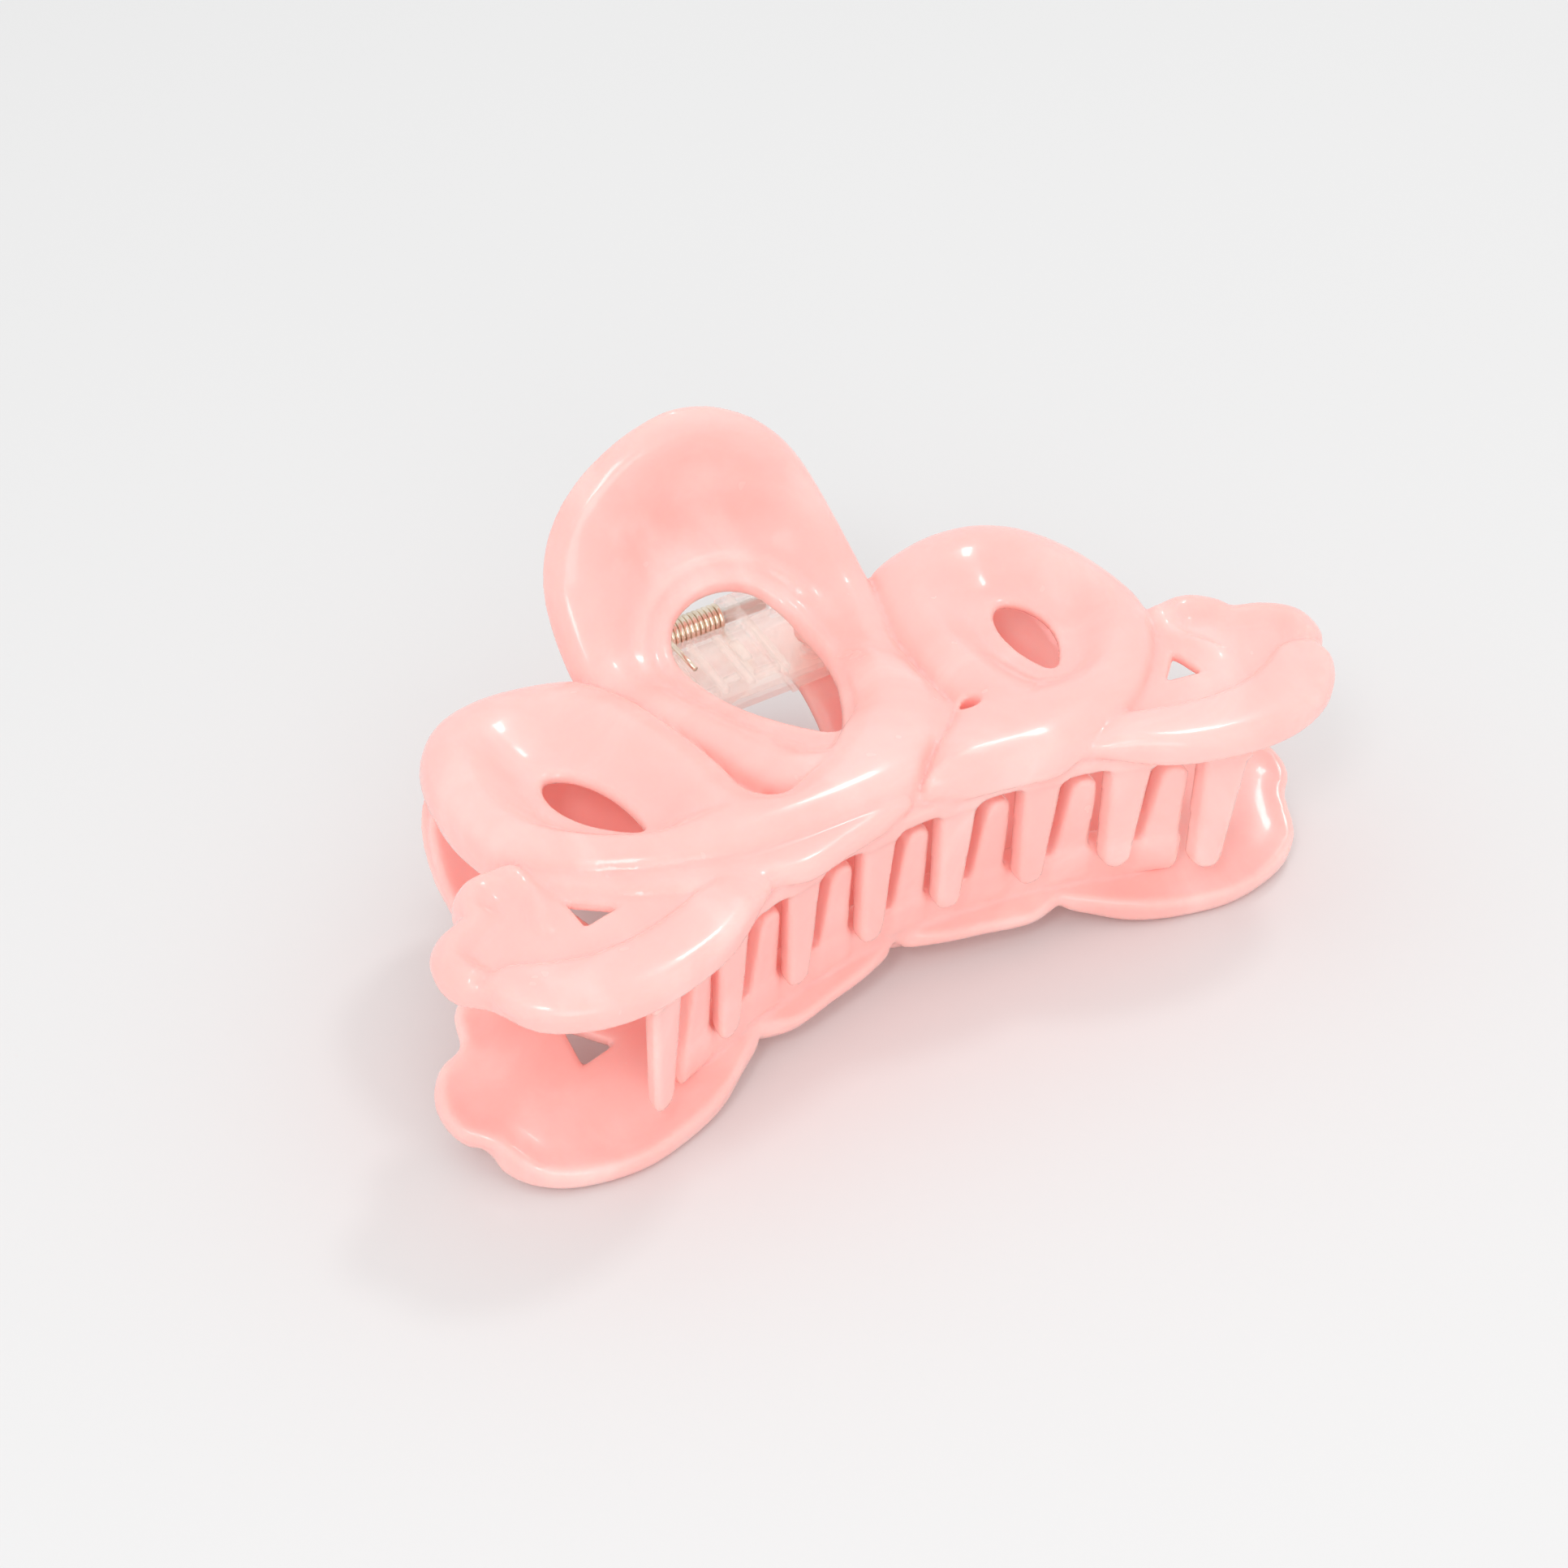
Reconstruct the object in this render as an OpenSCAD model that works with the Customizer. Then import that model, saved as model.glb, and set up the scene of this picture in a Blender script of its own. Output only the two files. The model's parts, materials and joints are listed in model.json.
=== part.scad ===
// Large claw hair clip: two moulded jaws, clear hinge brackets, a steel pin and a torsion spring.
// Clip frame: the hinge axis is X, the teeth point to -Y, the handles to +Y, the upper jaw is at +Z.
// The lower jaw is the upper one turned half a turn about Y, with one tooth fewer, and the teeth interleave.

/* [Jaws] */
// Thickness of the moulded jaw
shell_t = 2.6; // [2:0.1:3]
// Half of the handle's width
handle_half_w = 18.6; // [16:0.1:19]
// Half of the finger hole's width
ring_half_w = 7.4; // [6:0.1:8]

/* [Teeth] */
// Teeth on the upper jaw; the lower jaw has one fewer, in the gaps between them
tooth_count = 8; // [6:2:8]
// Distance from one tooth to the next
tooth_pitch = 10; // [9.6:0.1:10.2]
// Width of a tooth where it leaves the wall
tooth_root_w = 4.4; // [4:0.1:4.6]
// Width of a tooth at its rounded tip
tooth_tip_w = 2.8; // [2.2:0.1:3]
// Height of the tooth tips beyond the middle plane
tooth_reach = 6.5; // [6:0.1:6.6]

/* [Hinge] */
// Diameter of the hinge pin
pin_d = 1.8; // [1.6:0.1:1.9]
// Clearance round the pin in the knuckles
pin_gap = 0.05; // [0.03:0.01:0.08]
// Diameter of the spring wire
wire_d = 0.65; // [0.6:0.05:0.65]
// Turns in the spring
spring_turns = 12; // [10:1:12]
// Thickness of the bracket plates
plate_t = 1.0; // [0.8:0.1:1]

/* [Hidden] */

// Resting place: the clip lies on the lower handle and the lower leaves
rest_tilt = 11.25;
rest_y = 22.08;
rest_z = 24.45;

// Middle surface of a jaw from the neck to the front edge, as [y, z]
body_profile = [[-4, 1.75], [-9, 3.0], [-17, 4.5], [-23, 5.8], [-29, 7.2], [-36, 9.2],
                [-41, 10.5], [-46, 11.3], [-51, 12.0], [-57.5, 12.7]];

// Middle surface of the handle, as [y, z]; rows of the finger hole's two arms come first
handle_path = [[-14, 4.0], [-11, 3.6], [-8, 3.8], [-5.4, 4.5], [-3, 5.8], [-0.6, 7.4], [1.8, 9.3],
               [3.8, 11.6], [5.3, 14.3], [6.4, 17.3], [7.1, 20.3], [7.3, 22.8], [7.2, 24.8], [6.9, 26.3]];
// Half width of the handle at each of those rows, as a share of handle_half_w
handle_share = [0.93, 0.98, 1.02, 1.03, 1.02, 1.0, 0.99, 0.965, 0.9, 0.8, 0.65, 0.47, 0.28, 0.1];
// Half width of the finger hole at the first rows, as a share of ring_half_w
hole_share = [0.93, 0.98, 1, 0.93, 0.66];

// Half of the plan outline of a jaw, from the front centre round to the neck
half_outline = [[0, -43.9], [4.6, -45.9], [10, -47.1], [15.5, -48.3], [19.6, -47.3],
                [23.6, -50.4], [28, -53.2], [33.5, -55], [39, -55.8], [44.5, -55], [49.4, -52.2],
                [51.8, -47.2], [54.2, -44.6], [54.6, -41], [52.6, -37.2], [49.4, -35.7],
                [48.4, -32.4], [45.6, -30.3], [42.2, -30.2], [42.7, -23], [42.2, -17.2],
                [40.2, -11], [36, -6.4], [29.5, -4.5], [23.5, -4.9], [19.7, -6.1]];
// Petal hole of a side loop, as [x, y]
loop_hole = [[29.9, -16.9], [31.6, -20], [31.4, -24.4], [29.4, -29], [26, -32.2],
             [25.4, -28.2], [26, -23.4], [27.6, -19]];
// Lower part of the finger hole, right half
ring_hole = [[0, -29.4], [2.9, -26], [4.9, -22.2], [6.5, -17], [7.3, -11], [7.2, -3]];
// Small hole between a side loop and its leaf
leaf_hole = [[38, -38.6], [35, -41.9], [38, -42.4]];
valley_at = [12.5, -34.4];
valley_r = 1.1;
// Where the handle takes over from the body
neck_y = -12;
neck_half_w = 17.6;

// Tooth rows: a shallow bow across the clip; the upper row stands in front of the lower one
row_bow = 0.0063;
upper_row_y = -43.9;
lower_row_y = -42.3;
upper_wall_z = 8.8;
lower_wall_z = 6.9;
lower_shift = 1.0;
wall_t = 3.0;
wall_top = 11.4;
tooth_t = 2.3;
tooth_lean = 2;
tooth_set = 0.3;
tooth_top = 9.4;
reach_bow = 0.0003;
end_extra = 1.8;
row_seg = 12;

// Hinge layout along X
hinge_mid = -1;
wall_x = 4.6;
wall_w = 1.5;
barrel_x = 6.2;
barrel_w = 3.4;
knuckle_r = 2.2;
plate_z = 0.35;
plate_x = 12.4;
plate_y0 = -13;
plate_y1 = -2.7;
peg_r = 1.1;
peg_gap = 0.1;
boss_r = 2.1;
rib_w = 0.8;
peg_x = 10.2;
peg_y = -8.6;
spring_r = 1.55;
spring_pitch = 0.68;
leg_len = 8.4;
leg_rise = 6;

function cat(a, b, c, d, t) =
    0.5 * ((2 * b) + (c - a) * t + (2 * a - 5 * b + 4 * c - d) * t * t + (3 * b - a - 3 * c + d) * t * t * t);

// A smooth line through points, open at its ends
function smooth(p, n) = let (last = len(p) - 1) concat(
    [for (i = [0 : last - 1], k = [0 : n - 1])
        cat(p[max(i - 1, 0)], p[i], p[i + 1], p[min(i + 2, last)], k / n)], [p[last]]);

// A smooth closed line through points
function smooth_loop(p, n) = let (c = len(p)) [for (i = [0 : c - 1], k = [0 : n - 1])
    cat(p[(i + c - 1) % c], p[i], p[(i + 1) % c], p[(i + 2) % c], k / n)];

function flip_x(p) = [for (i = [len(p) - 1 : -1 : 0]) [-p[i][0], p[i][1]]];
function bow(x) = -row_bow * x * x;
function reach_at(x) = tooth_reach + reach_bow * x * x;
function tooth_x(k, count) = (k - (count - 1) / 2) * tooth_pitch;
function unit(v) = v / norm(v);

// Normal of a profile line at point i, up from the middle plane
function up_normal(p, i) = let (d = unit(p[min(i + 1, len(p) - 1)] - p[max(i - 1, 0)])) [-d[1], d[0]];
function offset_line(p, s, share = []) =
    [for (i = [0 : len(p) - 1]) p[i] + s * (len(share) > 0 ? share[i] : 1) * up_normal(p, i)];
function reversed(p) = [for (i = [len(p) - 1 : -1 : 0]) p[i]];

// A solid lofted through rings of equal point count
module loft(rings) {
    n = len(rings[0]);
    m = len(rings);
    faces = concat(
        [for (i = [0 : m - 2], j = [0 : n - 1]) let (k = (j + 1) % n)
            [i * n + j, i * n + k, (i + 1) * n + k, (i + 1) * n + j]],
        [[for (j = [n - 1 : -1 : 0]) j]],
        [[for (j = [0 : n - 1]) (m - 1) * n + j]]);
    polyhedron(points = [for (r = rings, q = r) q], faces = faces, convexity = 6);
}

// A bar of the given side profile, as wide as the jaw or more
module across(profile) {
    rotate([90, 0, 90]) translate([0, 0, -60]) linear_extrude(height = 120) polygon(profile);
}

module plan_outline() {
    half = smooth(half_outline, 3);
    difference() {
        polygon(concat(flip_x(half), half));
        for (s = [-1, 1]) scale([s, 1]) {
            polygon(smooth_loop(loop_hole, 3));
            polygon(leaf_hole);
            translate(valley_at) circle(r = valley_r, $fn = 16);
            polygon(concat([[0, neck_y + 5]], smooth(ring_hole, 2)));
        }
        translate([-neck_half_w, neck_y]) square([2 * neck_half_w, 20]);
    }
}

// The curved sheet that carries the teeth, the side loops and the leaves
module jaw_body() {
    line = smooth(body_profile, 2);
    intersection() {
        linear_extrude(height = 20) plan_outline();
        across(concat(offset_line(line, shell_t / 2), reversed(offset_line(line, -shell_t / 2))));
    }
}

// The handle: its outline is cut square to the chord of its side profile
module handle() {
    last = len(handle_path) - 1;
    chord = handle_path[last] - handle_path[0];
    turn = atan2(chord[1], chord[0]);
    up = unit(chord);
    along = [for (q = handle_path) (q - handle_path[0]) * up];
    half = [for (i = [0 : last]) [handle_share[i] * handle_half_w, along[i]]];
    hole = [for (i = [0 : len(hole_share) - 1]) [hole_share[i] * ring_half_w, along[i] - (i == 0 ? 1 : 0)]];
    half_t = [for (i = [0 : last]) (i < 2 ? shell_t - 0.4 : shell_t + 0.2) / 2];
    intersection() {
        across(concat(offset_line(handle_path, 1, half_t), reversed(offset_line(handle_path, -1, half_t))));
        translate([0, handle_path[0][0], handle_path[0][1]]) rotate([turn, 0, 0])
            translate([0, 0, -15]) linear_extrude(height = 30) difference() {
                polygon(concat(half, flip_x(half)));
                polygon(concat(hole, flip_x(hole)));
            }
    }
}

// Upright wall that the teeth stand on, from the given height up into the jaw
module tooth_wall(count, low) {
    x1 = tooth_x(count - 1, count) + tooth_root_w / 2;
    row = [for (i = [0 : row_seg]) let (x = x1 * (2 * i / row_seg - 1)) [x, bow(x)]];
    translate([0, 0, low]) linear_extrude(height = wall_top - low)
        polygon(concat([for (q = row) q - [0, wall_t / 2]], reversed([for (q = row) q + [0, wall_t / 2]])));
}

// A tooth: a tapered bar with a round tip, leaning forward
module tooth(x, extra) {
    tip_r = tooth_tip_w / 2;
    length = reach_at(x) + extra + tooth_top;
    translate([x, bow(x) - tooth_set, tooth_top]) rotate([90 - tooth_lean, 0, 0])
        translate([0, 0, -tooth_t / 2]) linear_extrude(height = tooth_t) {
            polygon([[-tooth_root_w / 2, 0], [-tip_r, tip_r - length], [tip_r, tip_r - length],
                [tooth_root_w / 2, 0]]);
            translate([0, tip_r - length]) circle(r = tip_r, $fn = 24);
        }
}

// Round bosses on the neck with the pegs that locate the clear bracket
module bracket_pegs() {
    for (s = [-1, 1]) translate([s * peg_x, peg_y, 0]) {
        translate([0, 0, plate_z + 0.1]) cylinder(r = peg_r, h = 3, $fn = 24);
        translate([0, 0, plate_z + plate_t + 0.02]) cylinder(r = boss_r, h = 2, $fn = 32);
    }
}

// A jaw; its end teeth are longer by extra
module jaw(count, row_y, shift, low, extra) {
    union() {
        jaw_body();
        handle();
        translate([shift, row_y, 0]) {
            tooth_wall(count, low);
            for (k = [0 : count - 1]) tooth(tooth_x(k, count), k == 0 || k == count - 1 ? extra : 0);
        }
        bracket_pegs();
    }
}

// Clear plate with two knuckles on the hinge axis, each with a rib along its side nearer the middle;
// knuckles lists each one's start and width
module bracket(knuckles) {
    difference() {
        union() {
            translate([-plate_x, plate_y0, plate_z]) cube([2 * plate_x, plate_y1 - plate_y0, plate_t]);
            for (k = knuckles) {
                translate([k[0], 0, 0]) rotate([0, 90, 0]) cylinder(r = knuckle_r, h = k[1], $fn = 48);
                translate([k[0], plate_y1 - 1.6, plate_z]) cube([k[1], 2.6, 1.5]);
                translate([k[0] > 0 ? k[0] : k[0] + k[1] - rib_w, plate_y0, plate_z])
                    cube([rib_w, plate_y1 - plate_y0, plate_t + 0.5]);
            }
        }
        rotate([0, 90, 0]) cylinder(r = pin_d / 2 + pin_gap, h = 60, center = true, $fn = 48);
        for (s = [-1, 1]) translate([s * peg_x, peg_y, -1])
            cylinder(r = peg_r + peg_gap, h = 6, $fn = 32);
    }
}

// A wire of round section swept along points
module wire(path, r, sides = 8) {
    n = len(path);
    loft([for (i = [0 : n - 1])
        let (d = unit(path[min(i + 1, n - 1)] - path[max(i - 1, 0)]),
             u = unit(cross(d, abs(d[0]) > 0.9 ? [0, 0, 1] : [1, 0, 0])),
             w = cross(u, d))
        [for (s = [0 : sides - 1]) path[i] + r * (cos(360 * s / sides) * u + sin(360 * s / sides) * w)]]);
}

// Rest place of the whole clip
module resting() {
    translate([0, rest_y, rest_z]) rotate([rest_tilt, 0, 0]) children();
}

module turned_over() {
    rotate([0, 180, 0]) children();
}

module upper_jaw() {
    color([0.99, 0.74, 0.71]) resting() jaw(tooth_count, upper_row_y, 0, upper_wall_z, end_extra);
}

module lower_jaw() {
    color([0.99, 0.74, 0.71]) resting() turned_over()
        jaw(tooth_count - 1, lower_row_y, -lower_shift, lower_wall_z, 0);
}

module upper_hinge_bracket() {
    color([0.93, 0.93, 0.9]) resting()
        bracket([[hinge_mid + wall_x, wall_w], [hinge_mid - wall_x - wall_w, wall_w]]);
}

module lower_hinge_bracket() {
    color([0.93, 0.93, 0.9]) resting() turned_over()
        bracket([[-hinge_mid + barrel_x, barrel_w], [-hinge_mid - barrel_x - barrel_w, barrel_w]]);
}

module hinge_pin() {
    reach = barrel_x + barrel_w + 0.3;
    color([0.78, 0.74, 0.68]) resting() translate([hinge_mid - reach, 0, 0]) rotate([0, 90, 0]) {
        cylinder(d = pin_d, h = 2 * reach, $fn = 48);
    }
}

module torsion_spring() {
    steps = 14;
    total = spring_turns * steps;
    half = spring_turns * spring_pitch / 2;
    // A point of the coil, a angle measured from +Z towards -Y, starting and ending at the legs
    coil = [for (i = [0 : total]) let (a = leg_rise + i * 360 * (spring_turns - leg_rise / 180 + 0.5)
            / spring_turns / steps) [hinge_mid - half + i * 2 * half / total,
            spring_r * sin(a), spring_r * cos(a)]];
    first = coil[0] + leg_len * [0, -cos(leg_rise), sin(leg_rise)];
    last = coil[total] + leg_len * [0, -cos(leg_rise), -sin(leg_rise)];
    color([0.85, 0.78, 0.68]) resting() wire(concat([first], coil, [last]), wire_d / 2);
}

upper_jaw();
lower_jaw();
upper_hinge_bracket();
lower_hinge_bracket();
hinge_pin();
torsion_spring();
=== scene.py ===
"""Looks of the claw hair clip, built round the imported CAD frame.

The jaws are modelled in the clip's own frame, in millimetres: the hinge axis is X, the teeth point
to -Y, the handles to +Y and the upper jaw is at +Z. rest_matrix() then lays the clip down.
"""
import json
import math

import bpy
import numpy as np
import openvdb
from mathutils import Matrix, Vector


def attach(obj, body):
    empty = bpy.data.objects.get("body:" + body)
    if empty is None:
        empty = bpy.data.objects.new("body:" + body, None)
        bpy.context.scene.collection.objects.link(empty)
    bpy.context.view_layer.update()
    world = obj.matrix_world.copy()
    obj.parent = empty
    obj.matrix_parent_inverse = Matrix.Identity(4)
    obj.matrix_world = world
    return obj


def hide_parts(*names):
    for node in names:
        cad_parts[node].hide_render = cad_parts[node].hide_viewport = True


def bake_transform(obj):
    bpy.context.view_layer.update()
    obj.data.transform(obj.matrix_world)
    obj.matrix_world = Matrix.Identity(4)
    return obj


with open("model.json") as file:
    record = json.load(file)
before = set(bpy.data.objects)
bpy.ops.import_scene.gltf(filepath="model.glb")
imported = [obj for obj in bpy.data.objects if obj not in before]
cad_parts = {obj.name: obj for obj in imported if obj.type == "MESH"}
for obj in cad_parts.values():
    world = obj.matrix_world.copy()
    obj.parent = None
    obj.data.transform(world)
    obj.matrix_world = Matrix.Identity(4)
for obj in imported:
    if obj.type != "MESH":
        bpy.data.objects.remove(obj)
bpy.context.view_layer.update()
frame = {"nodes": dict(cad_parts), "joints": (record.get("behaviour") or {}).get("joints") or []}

MM = 0.001
HINGE = Vector(frame["joints"][0]["pos_m"])
REST_TILT = math.radians(11.25)
STEP = 0.45

# Side profiles of a jaw's middle surface, as (y, z)
BODY_LINE = [(-60, 13.0), (-57.5, 12.7), (-51, 12.0), (-46, 11.3), (-41, 10.5), (-36, 9.2), (-29, 7.2),
             (-23, 5.8), (-17, 4.5), (-9, 3.0), (-4, 1.75), (3, 0)]
HANDLE_LINE = BODY_LINE[:9] + [(-14, 4.0), (-11, 3.6), (-8, 3.8), (-5.4, 4.5), (-3, 5.8), (-0.6, 7.4),
                               (1.8, 9.3), (3.8, 11.6), (5.3, 14.3), (6.4, 17.3), (7.1, 20.3),
                               (7.3, 22.8), (7.2, 24.8), (6.9, 26.3), (6.2, 29.5)]

# Outlines on the sheet, as (x, v): v is y up to the neck and the length along the handle after it
HALF_PLAN = [(0, -43.9), (4.6, -45.9), (10, -47.1), (15.5, -48.3), (19.6, -47.3), (23.6, -50.4),
             (28, -53.2), (33.5, -55), (39, -55.8), (44.5, -55), (49.4, -52.2), (51.8, -47.2),
             (54.2, -44.6), (54.6, -41), (52.6, -37.2), (49.4, -35.7), (48.4, -32.4), (45.6, -30.3),
             (42.2, -30.2), (42.7, -23), (42.2, -17.2), (40.2, -11), (36, -6.4), (29.5, -4), (23.5, -4.5),
             (19.7, -6.1)]
HALF_RING = [(0, -40), (7, -39), (12, -35.5), (13.2, -30), (14, -25), (15.2, -19), (17.3, -14),
             (18.4, -10.5), (19.1, -5.5), (18.9, 0), (18.2, 5), (16.7, 9.5), (14.6, 13), (11.8, 16),
             (8.3, 18.6), (4.4, 20.6), (0, 21.6)]
FINGER_HOLE = [(0, -29.4), (2.4, -26.6), (4.2, -23.4), (5.6, -20.3), (6.8, -16), (7.4, -11), (7.3, -7),
               (5.6, -3.6), (2.9, -1.9), (0, -1.4)]
PETAL_HOLE = [(29.6, -18.4), (31.2, -20.6), (31.3, -24.6), (29.6, -29), (26.2, -32.8), (25.3, -28.6),
              (25.8, -23.6), (27.4, -19.8)]
LEAF_HOLE = [(38.6, -37.8), (34.2, -42.0), (38.8, -42.9)]
# Left loop and the ribbon that sweeps out of it, below the finger hole and up the right arm
SWEEP = [(-19.5, -6), (-24.5, -3.8), (-30, -2.9), (-35.5, -4.3), (-39.8, -8.5), (-42.2, -15), (-42.7, -22),
         (-41.6, -29), (-37.5, -35.4), (-31, -40), (-24, -42.9), (-17, -44.3), (-9, -44.6), (-2.5, -44.3),
         (1.2, -43.2), (4.4, -40.4), (7.8, -37.6), (10.6, -34.6), (12.3, -30), (13.1, -25), (14, -18.5),
         (15.6, -12), (15.4, -5), (12, -3), (9.2, -8), (7.7, -15), (5.6, -22), (3, -27.6), (-0.6, -30.6),
         (-4.6, -33.9), (-9.3, -36.3), (-12.6, -37.4), (-14.2, -34.8), (-13.9, -30), (-13.9, -25),
         (-14.5, -19), (-15.4, -13.5), (-17.2, -9)]
# Right loop and the band that runs from it along the front edge
BAND = [(19.5, -6), (24.5, -3.8), (30, -2.9), (35.5, -4.3), (39.8, -8.5), (42.2, -15), (42.7, -22),
        (41.8, -29), (38.6, -35), (34, -40.2), (29.5, -43.7), (24.5, -46.2), (20, -47.5), (15.5, -48.2),
        (10, -47.1), (4.6, -45.9), (0.8, -44.1), (3.4, -41.2), (6, -38.9), (9.4, -36.3), (11.2, -33.6),
        (12.4, -30), (13.2, -25), (14.2, -18.5), (16.4, -12.3), (18.2, -8.4)]
# Low ridge between the sweep and the left leaf
RIDGE = [(-41, -30.2), (-38.8, -36), (-34.5, -40.8), (-29.5, -43.9), (-24.5, -46.1), (-20, -47.4),
         (-15.5, -48.2), (-10, -47.1), (-4.6, -45.9), (-0.4, -44.1), (-5, -41.5), (-12, -41.5),
         (-20, -40), (-28, -37.5), (-34, -33), (-38, -28)]
# Lines on a leaf: the crest of its front petal, the rims of its lobes, its stem and the fold behind
# the petal
PETAL_LINE = [(18, -46), (23, -47.8), (29, -50.2), (35, -51.6), (41, -51.6), (46, -50.2), (49, -48.6)]
LOBE_LINE = [(41.5, -32), (45.2, -32), (47.2, -34.6), (47.6, -36.6), (50.6, -38.4), (52.6, -41.2),
             (52, -44.4)]
STEM_LINE = [(40.6, -33.5), (40.8, -37), (42.5, -41)]
FOLD_LINE = [(37.5, -43.2), (41, -45.6), (46, -46.6), (51.6, -46.4)]
LEAF = [(40, -29.5), (42.4, -30), (45.2, -29.9), (47.9, -32), (49.2, -35.7), (51.8, -36.5), (54, -38.8),
        (54.7, -41.6), (54, -44.7), (51.9, -46.9), (51.4, -49.4), (49.3, -52.4), (45.5, -54.7),
        (39, -55.8), (33.5, -55), (28, -53.2), (23.6, -50.4), (19.8, -47.5), (21.5, -44), (28, -41.5),
        (33, -38), (37, -32)]

# Thickness of the sheet: its top and its underside, and where a ribbon's own underside lies
SHEET_TOP = 0.5
SHEET_UNDER = -0.75
RIBBON_UNDER = -0.2
EDGE_R = 1.15
# The rim under the leaves, and how far the thin sheet stays back from a hole
BASE_RIM = 0.7
BASE_RIM_W = 2.2
HOLE_BACK = 0.8
NECK = (17, -14)

# Ribbons: height at the edge, height of the crest above it and how far in the crest is reached
BAND_PUFF = (0.8, 3.3, 6.2)
SWEEP_PUFF = (1.1, 3.5, 5.4)
RIDGE_TOP = 1.0
RIDGE_CREST = 0.9
RIDGE_W = 2.4
# A ribbon's slope into its petal hole: where it starts and how far it runs, with 0 at the ribbon's edge
# and 1 at the hole, the share of the crest that it takes away, the sink where a ribbon fades out, and
# the low lip round the hole
FALL_FROM = 0.3
FALL_SPAN = 0.6
FALL_SHARE = 0.95
FADE_DROP = 0.9
HOLE_LIP = 0.15

# Leaves: the folded petal, the rims of the lobes, the stem, the dish between them and the fold
LEAF_TOP = 0.7
PETAL_H, PETAL_W = 2.0, 4.4
LOBE_H, LOBE_W = 1.9, 2.0
STEM_H, STEM_W = 0.9, 1.5
DISH_AT = (46.5, -41)
DISH_DEEP, DISH_W = 0.9, 3.6
CREASE_DEEP, CREASE_W = 0.9, 1.1

# Handle: a high outer rim that falls to the finger hole, a collar and a lip round the hole
RIM_H, RIM_W = 2.4, 5.2
RIM_FALL = (0.28, 0.55)
COLLAR_H, COLLAR_AT, COLLAR_W = 0.75, 3.6, 1.1
HOLE_RIM_H, HOLE_RIM_AT, HOLE_RIM_W = 0.6, 1.0, 1.2
HANDLE_UNDER = -1.5
HANDLE_EDGE_R = 1.5

# Teeth: eight on the upper jaw and seven on the lower one, whose row stands a little further back
ROWS = {"upper": {"count": 8, "y": -43.9, "shift": 0.0, "low": 8.8, "end_extra": 1.8, "pockets": False},
        "lower": {"count": 7, "y": -42.3, "shift": -1.0, "low": 5.2, "end_extra": 0.0, "pockets": True}}
TOOTH_PITCH = 10.0
TOOTH_ROOT_W = 4.5
TOOTH_TIP_W = 2.8
TOOTH_THICK = 2.3
TOOTH_LEAN = math.radians(2)
TOOTH_SET = 0.3
TOOTH_TOP = 9.4
TOOTH_REACH = 6.5
REACH_BOW = 0.0003
ROW_BOW = 0.0063
WALL_THICK = 3.0
WALL_TOP = 10.6
POCKET_GAP = 0.25
TOOTH_EDGE_R = 0.45
WALL_EDGE_R = 0.5
VALLEY = (12.8, -35.2)
VALLEY_R = 1.0

# Bosses under the neck and the pegs on them that locate the clear plates
PEG_AT = (10.2, -8.6)
BOSS_R = 2.1
BOSS_LOW = 1.4
PEG_R = 1.1
PEG_LOW = 0.45
BOSS_TOP = 3.6

# How softly shapes run into each other
LEAF_BLEND = 0.8
RIBBON_BLEND = 0.4
RING_BLEND = 0.5
VALLEY_BLEND = 0.8
PEG_BLEND = 0.3
TOOTH_BLEND = 1.3
POCKET_BLEND = 0.3
ROW_BLEND = 0.6

# Spring
HINGE_MID = -1.0
WIRE_R = 0.32
COIL_R = 1.55
TURNS = 12
COIL_PITCH = 0.68
LEG_LEN = 8.4
LEG_RISE = math.radians(6)

# Ribs on the upper clear plate, as x0, x1, y0, y1 and top
RIBS = [(-3.8, -3.0, -12.4, -4.0, 2.3), (-0.4, 0.4, -12.4, -4.0, 2.1), (4.2, 5.0, -12.4, -3.2, 2.3),
        (-6.4, -4.4, -12.6, -11.6, 2.6), (-2.6, -0.8, -11.2, -10.2, 1.9), (0.8, 3.8, -12.2, -11.2, 2.5),
        (0.9, 2.1, -8.8, -5.6, 2.0)]
RIB_FOOT = 1.34
RIB_BEVEL = 0.2

# Camera: an orbit round a point near the teeth, on a level turned by CAMERA_TILT about the hinge
CAMERA_AROUND = math.radians(-32.021)
CAMERA_ABOVE = math.radians(40.252)
CAMERA_TILT = math.radians(4.65)
CAMERA_TARGET = Vector((-6.322, -29.204, 0))
CAMERA_DISTANCE = 329.187
SENSOR_W = 36
LENS = 69.85

# Lights as name, place and size in metres, and power in watts
LIGHTS = [("key", (0.38, 0.1, 0.8), (0.13, 0.11), 0.75), ("fill", (-0.42, -0.42, 0.62), (0.15, 0.2), 0.9),
          ("front", (-0.35, -0.85, 0.4), (0.5, 0.4), 1.3)]
LIGHT_TARGET = (0, 0, 0.02)
WORLD_STRENGTH = 0.90
FLOOR_HALF = 4.0


# ---------------------------------------------------------------- curves and distances
def spline(points, per=6, closed=False):
    """A smooth line through points, as an array."""
    p = np.array(points, float)
    count = len(p)
    spans = count if closed else count - 1
    out = []
    for i in range(spans):
        ids = [i - 1, i, i + 1, i + 2]
        ids = [k % count for k in ids] if closed else [min(max(k, 0), count - 1) for k in ids]
        a, b, c, d = p[ids]
        for t in np.arange(per) / per:
            out.append(0.5 * (2 * b + (c - a) * t + (2 * a - 5 * b + 4 * c - d) * t**2
                              + (3 * b - a - 3 * c + d) * t**3))
    if not closed:
        out.append(p[-1])
    return np.array(out)


def mirrored(points):
    """The closed outline made of a right half, from the front centre to the back, and its mirror image."""
    return points + [(-x, v) for x, v in reversed(points) if x > 0]


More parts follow.
